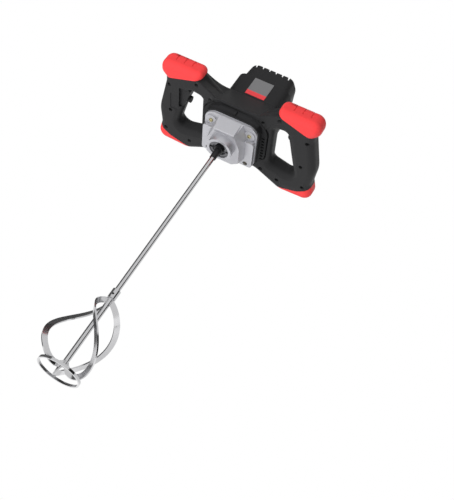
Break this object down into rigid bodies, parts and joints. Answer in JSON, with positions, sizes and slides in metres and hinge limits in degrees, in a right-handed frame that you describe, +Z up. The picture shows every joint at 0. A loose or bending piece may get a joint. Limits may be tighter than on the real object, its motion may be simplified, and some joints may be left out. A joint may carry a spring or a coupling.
{
  "type": "two-handed mixing drill",
  "caption": "Hand-held mixing drill for mortar and paint: double-loop handle frame, motor block, gear case and a long rod with a ribbon paddle.",
  "frame": {"origin": "on the spindle axis, in the parting plane of the two handle shells, between the hand grips", "axes": "+Z up along the spindle axis away from the paddle, -Y to the front with the bumpers, +X to the grip with the speed dial"},
  "size_m": [0.3766, 0.2395, 0.829],
  "materials": {
    "black_plastic": "moulded glass-filled plastic, matt",
    "red_rubber": "soft moulded rubber, satin",
    "grey_label": "plain grey plate with a red band, no lettering",
    "cast_aluminium": "die cast, bead blasted",
    "bright_steel": "bright zinc plated steel",
    "black_steel": "black oxide steel",
    "zinc_screws": "yellow zinc plated steel",
    "machined_steel": "ground steel",
    "copper": "enamelled copper wire and bars",
    "carbon": "pressed carbon"
  },
  "bodies": {
    "housing": {"lower_handle_shell": "black_plastic", "upper_handle_shell": "black_plastic", "motor_end_cap": "black_plastic", "right_front_bumper": "red_rubber", "left_front_bumper": "red_rubber", "right_rear_foot": "red_rubber", "left_rear_foot": "red_rubber", "rating_plate": "grey_label", "cable_gland": "black_plastic", "air_outlet_collar": "black_plastic", "gear_case": "cast_aluminium", "gear_plate": "cast_aluminium", "bearing_retainer": "bright_steel", "retainer_screws": "zinc_screws", "gear_case_screws": "zinc_screws", "shell_screws": "black_steel", "end_cap_screws": "black_steel", "stator_core": "machined_steel", "field_coils": "copper", "brush_holders": "black_plastic", "carbon_brushes": "carbon", "brush_caps": "black_plastic", "air_baffle": "black_plastic", "trigger_switch": "black_plastic", "speed_module": "black_plastic", "trigger_pin": "bright_steel", "spindle_lower_bearing": "machined_steel", "spindle_upper_bearing": "machined_steel", "layshaft_upper_bearing": "machined_steel", "layshaft_lower_bush": "machined_steel", "armature_lower_bearing": "machined_steel", "armature_upper_bearing": "machined_steel"},
    "spindle": {"output_spindle": "machined_steel", "spindle_gear": "machined_steel", "rod_adapter": "black_steel", "mixing_rod": "bright_steel", "rod_sleeve": "bright_steel", "sleeve_set_screw": "black_steel", "ribbon_blade_1": "bright_steel", "ribbon_blade_2": "bright_steel", "ribbon_blade_3": "bright_steel", "bottom_ring": "bright_steel"},
    "layshaft": {"layshaft": "machined_steel", "layshaft_gear": "machined_steel"},
    "armature": {"armature_shaft": "machined_steel", "armature_core": "machined_steel", "armature_windings": "copper", "commutator": "copper", "cooling_fan": "black_plastic"},
    "trigger": {"trigger": "black_plastic"},
    "lock_button": {"lock_button": "black_plastic"},
    "speed_dial": {"speed_dial": "black_plastic"}
  },
  "joints": [
    {"name": "spindle_spin", "type": "hinge", "parent": "housing", "child": "spindle", "pos_m": [0, 0, 0], "axis": [0, 0, 1], "continuous": true},
    {"name": "layshaft_spin", "type": "hinge", "parent": "housing", "child": "layshaft", "pos_m": [0.0261, 0.02237, 0], "axis": [0, 0, 1], "continuous": true},
    {"name": "armature_spin", "type": "hinge", "parent": "housing", "child": "armature", "pos_m": [0, 0.035, 0], "axis": [0, 0, 1], "continuous": true},
    {"name": "trigger_pull", "type": "hinge", "parent": "housing", "child": "trigger", "pos_m": [-0.147, 0.024, 0], "axis": [0, 0, -1], "range_deg": [0, 7], "stiffness_Nm_per_rad": 0.6, "springref_deg": -2.86},
    {"name": "lock_button_press", "type": "slide", "parent": "trigger", "child": "lock_button", "axis": [-1, 0, 0], "range_m": [0, 0.003], "stiffness_N_per_m": 400, "springref_m": -0.001},
    {"name": "speed_dial_turn", "type": "hinge", "parent": "housing", "child": "speed_dial", "pos_m": [0.123, -0.016, 0], "axis": [0, 0, 1], "range_deg": [0, 300]}
  ],
  "couplings": [
    {"joint": "layshaft_spin", "follows": "spindle_spin", "ratio": -4.5},
    {"joint": "armature_spin", "follows": "spindle_spin", "ratio": 24.5}
  ]
}
